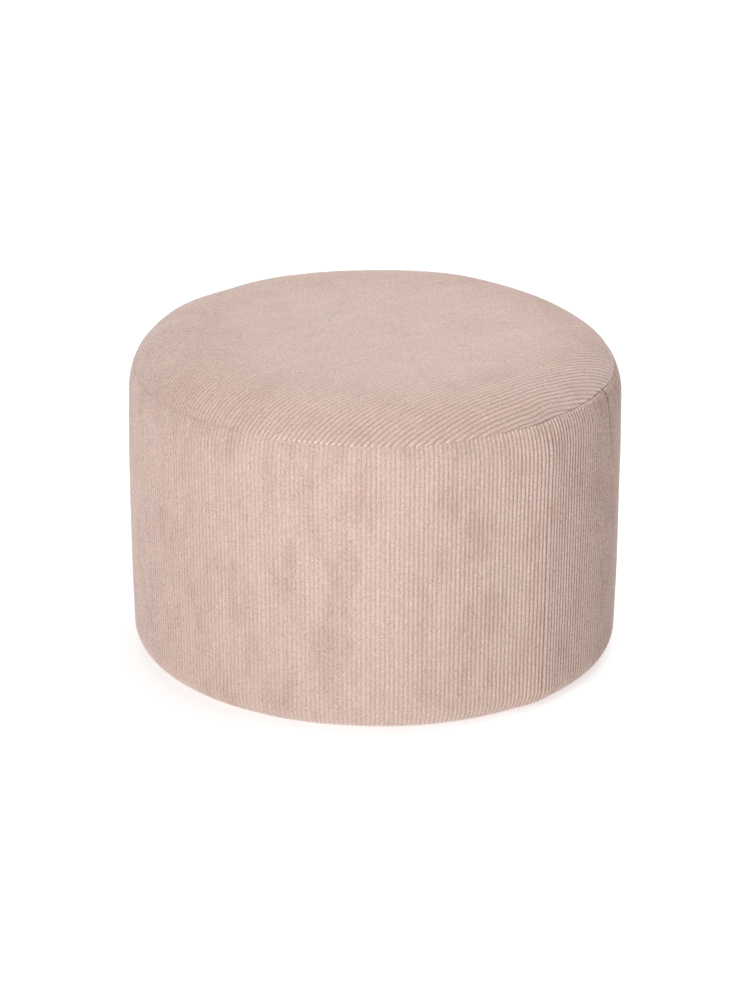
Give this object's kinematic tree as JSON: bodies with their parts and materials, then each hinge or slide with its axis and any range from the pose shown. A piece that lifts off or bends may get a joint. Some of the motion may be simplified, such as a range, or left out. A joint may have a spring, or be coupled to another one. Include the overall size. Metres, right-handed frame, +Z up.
{
  "type": "corduroy pouf",
  "caption": "Round floor pouf covered in wide-wale corduroy, with a softly crowned top panel, an upright band and a flat base.",
  "frame": {"origin": "on the floor under the middle of the pouf", "axes": "+Z up; the side seen in front faces -Y, +X to its right"},
  "size_m": [0.4993, 0.5084, 0.3359],
  "materials": {
    "corduroy_top": "dusty pink cotton corduroy, matte crushed pile",
    "corduroy_band": "dusty pink cotton corduroy, matte pile with upright wales",
    "base_cloth": "plain woven cloth, matte"
  },
  "bodies": {
    "root": {"top_panel": "corduroy_top", "side_band": "corduroy_band", "base_panel": "base_cloth"}
  },
  "joints": []
}
